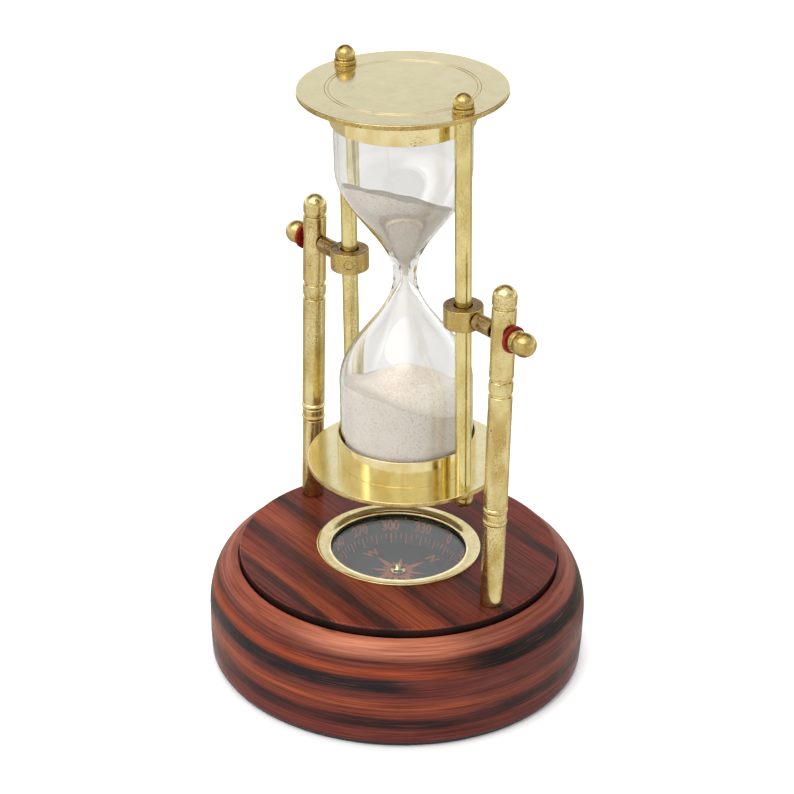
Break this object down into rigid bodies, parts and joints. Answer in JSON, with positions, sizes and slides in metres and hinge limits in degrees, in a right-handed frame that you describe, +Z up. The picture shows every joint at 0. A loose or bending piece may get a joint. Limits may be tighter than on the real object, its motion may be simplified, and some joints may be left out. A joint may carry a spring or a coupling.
{
  "type": "hourglass",
  "caption": "Brass sand hourglass that turns over between posts on a round rosewood base with a compass set in it.",
  "frame": {"origin": "centre of the felt's underside, on the surface that the hourglass stands on", "axes": "+Z up along the base's axis; +X along the pivot line, from the left post to the right one"},
  "size_m": [0.1016, 0.1016, 0.1662],
  "materials": {
    "polished_brass": "mirror polished, thin clear lacquer",
    "aged_brass": "polished, lightly tarnished and speckled",
    "rosewood": "turned, satin lacquer, dark wavy figure",
    "rosewood_veneer": "straight grain, satin lacquer",
    "felt": "short black felt",
    "clear_glass": "clear blown glass",
    "sand": "fine pale cream grains",
    "black_enamel": "satin black with copper-coloured print",
    "black_rubber": "matte black",
    "steel": "machined",
    "magnet": "ground magnet steel",
    "red_fibre": "red vulcanised fibre",
    "cork": "natural cork"
  },
  "bodies": {
    "base": {"felt_pad": "felt", "base_body": "rosewood", "base_top_disc": "rosewood_veneer", "compass_case": "aged_brass", "compass_bezel": "polished_brass", "compass_seal": "black_rubber", "compass_glass": "clear_glass", "compass_pivot": "steel", "post_left": "aged_brass", "post_right": "aged_brass", "post_screw_left": "steel", "post_screw_right": "steel"},
    "compass_card": {"compass_card": "black_enamel", "compass_cap": "polished_brass", "compass_magnet_west": "magnet", "compass_magnet_east": "magnet"},
    "hourglass": {"top_plate": "polished_brass", "bottom_plate": "polished_brass", "top_cup": "polished_brass", "bottom_cup": "polished_brass", "top_glass_pad": "cork", "bottom_glass_pad": "cork", "glass_bulb": "clear_glass", "fill_plug": "cork", "upper_sand": "sand", "lower_sand": "sand", "rod_left": "polished_brass", "rod_right": "polished_brass", "collar_left": "aged_brass", "collar_screw_left": "aged_brass", "pivot_pin_left": "aged_brass", "spacer_left": "aged_brass", "fibre_washer_left": "red_fibre", "knob_left": "aged_brass", "collar_right": "aged_brass", "collar_screw_right": "aged_brass", "pivot_pin_right": "aged_brass", "spacer_right": "aged_brass", "fibre_washer_right": "red_fibre", "knob_right": "aged_brass", "finial_top_left": "polished_brass", "finial_top_right": "polished_brass", "finial_bottom_left": "polished_brass", "finial_bottom_right": "polished_brass"}
  },
  "joints": [
    {"name": "hourglass_flip", "type": "hinge", "parent": "base", "child": "hourglass", "pos_m": [0, 0, 0.10757], "axis": [1, 0, 0], "continuous": true},
    {"name": "compass_card_turn", "type": "hinge", "parent": "base", "child": "compass_card", "pos_m": [0, 0, 0.0235], "axis": [0, 0, 1], "continuous": true}
  ]
}
